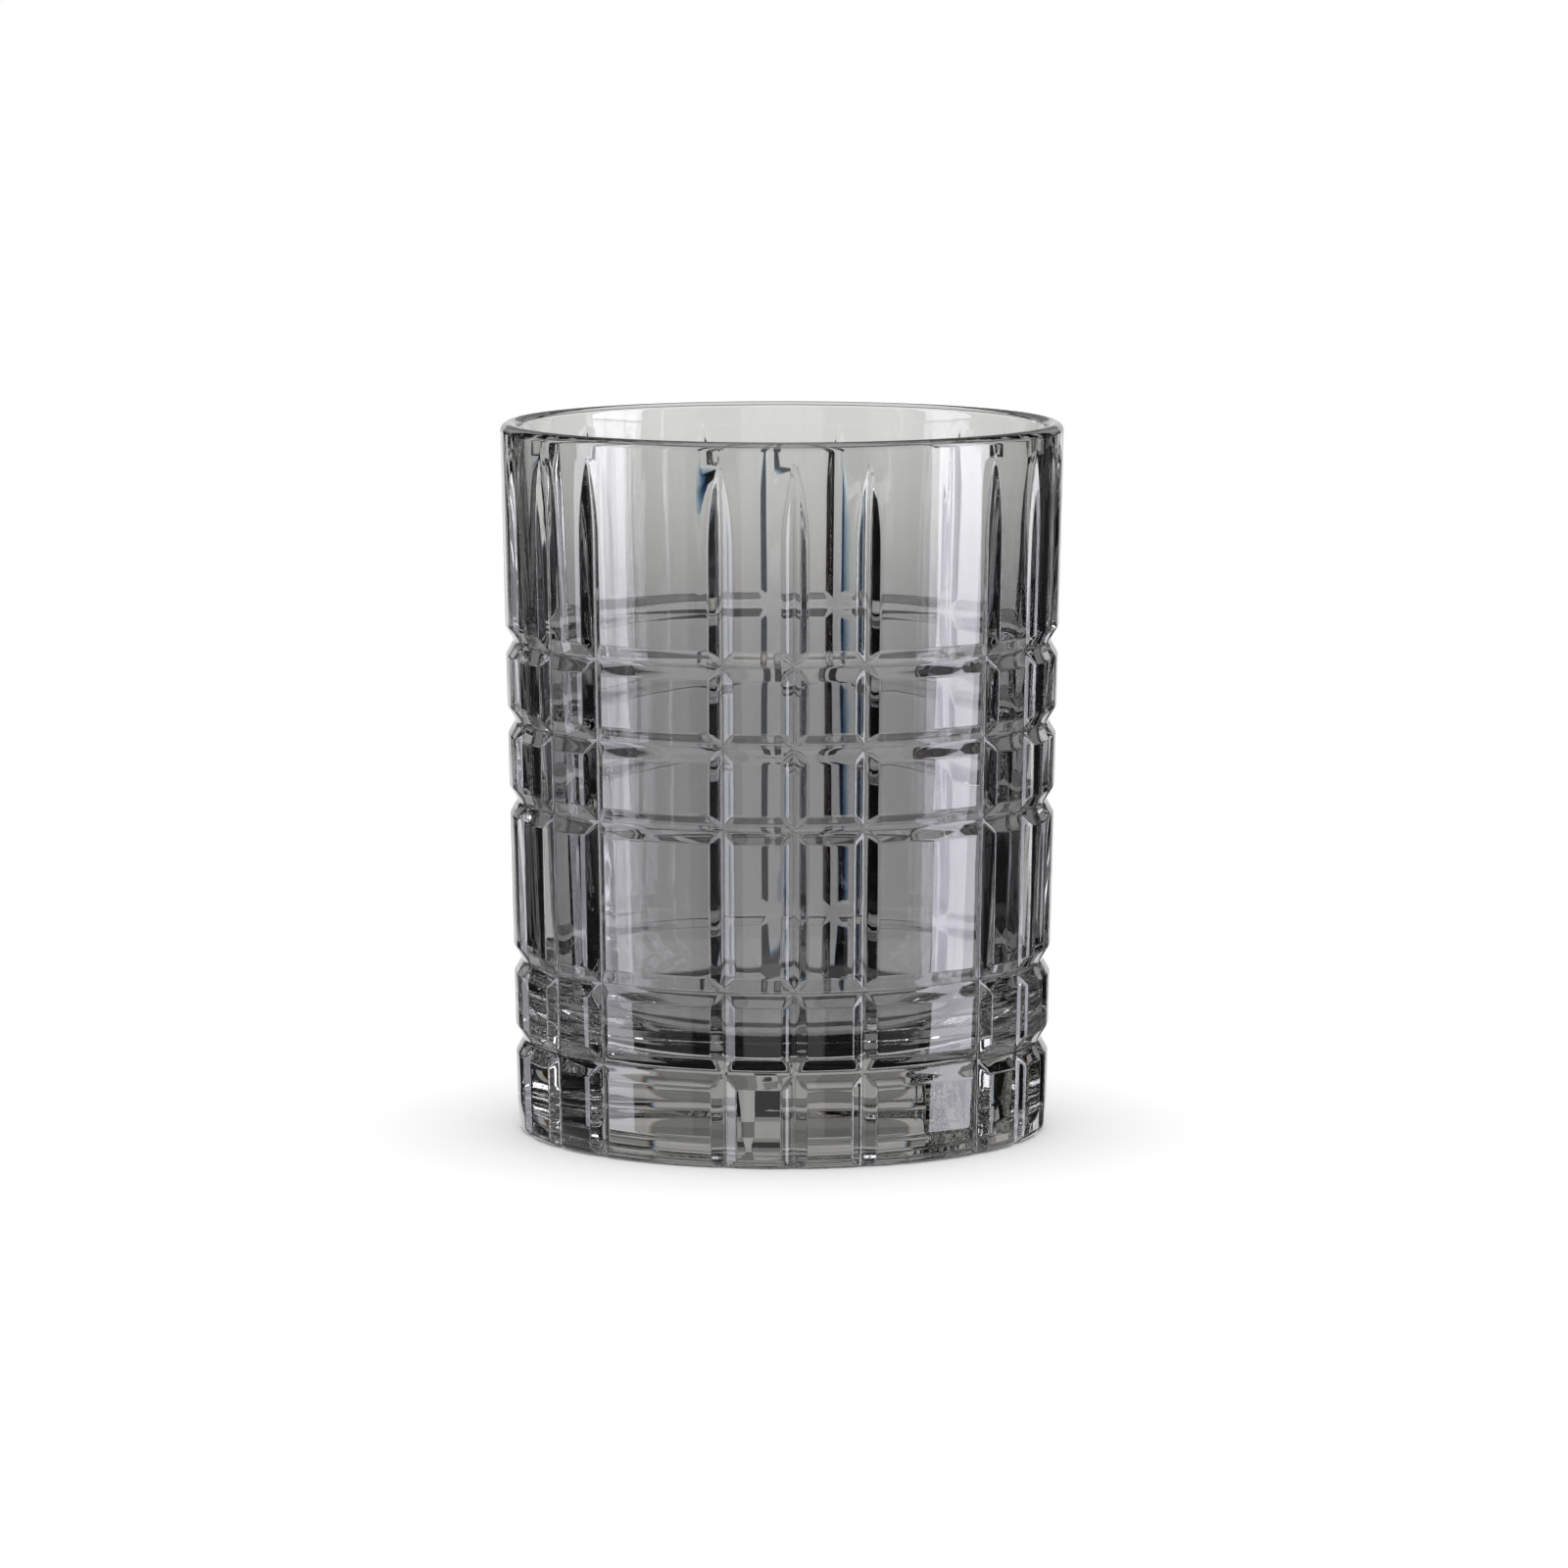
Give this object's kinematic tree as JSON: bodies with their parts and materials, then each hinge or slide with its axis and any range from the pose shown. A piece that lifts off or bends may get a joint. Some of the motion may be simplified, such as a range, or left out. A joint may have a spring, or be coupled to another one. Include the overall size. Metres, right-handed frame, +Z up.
{
  "type": "whiskey tumbler",
  "caption": "Tall straight-sided glass tumbler in smoke grey, heavy base, V cuts in upright and ring rows that cross into a block pattern.",
  "frame": {"origin": "centre of the resting face, on the axis of the tumbler", "axes": "+Z up along the axis, out of the mouth; -Y through one of the upright cuts"},
  "size_m": [0.0808, 0.0808, 0.102],
  "materials": {
    "smoke_glass": "polished smoke-grey glass with bright V cuts"
  },
  "bodies": {
    "root": {"tumbler_glass": "smoke_glass"}
  },
  "joints": []
}
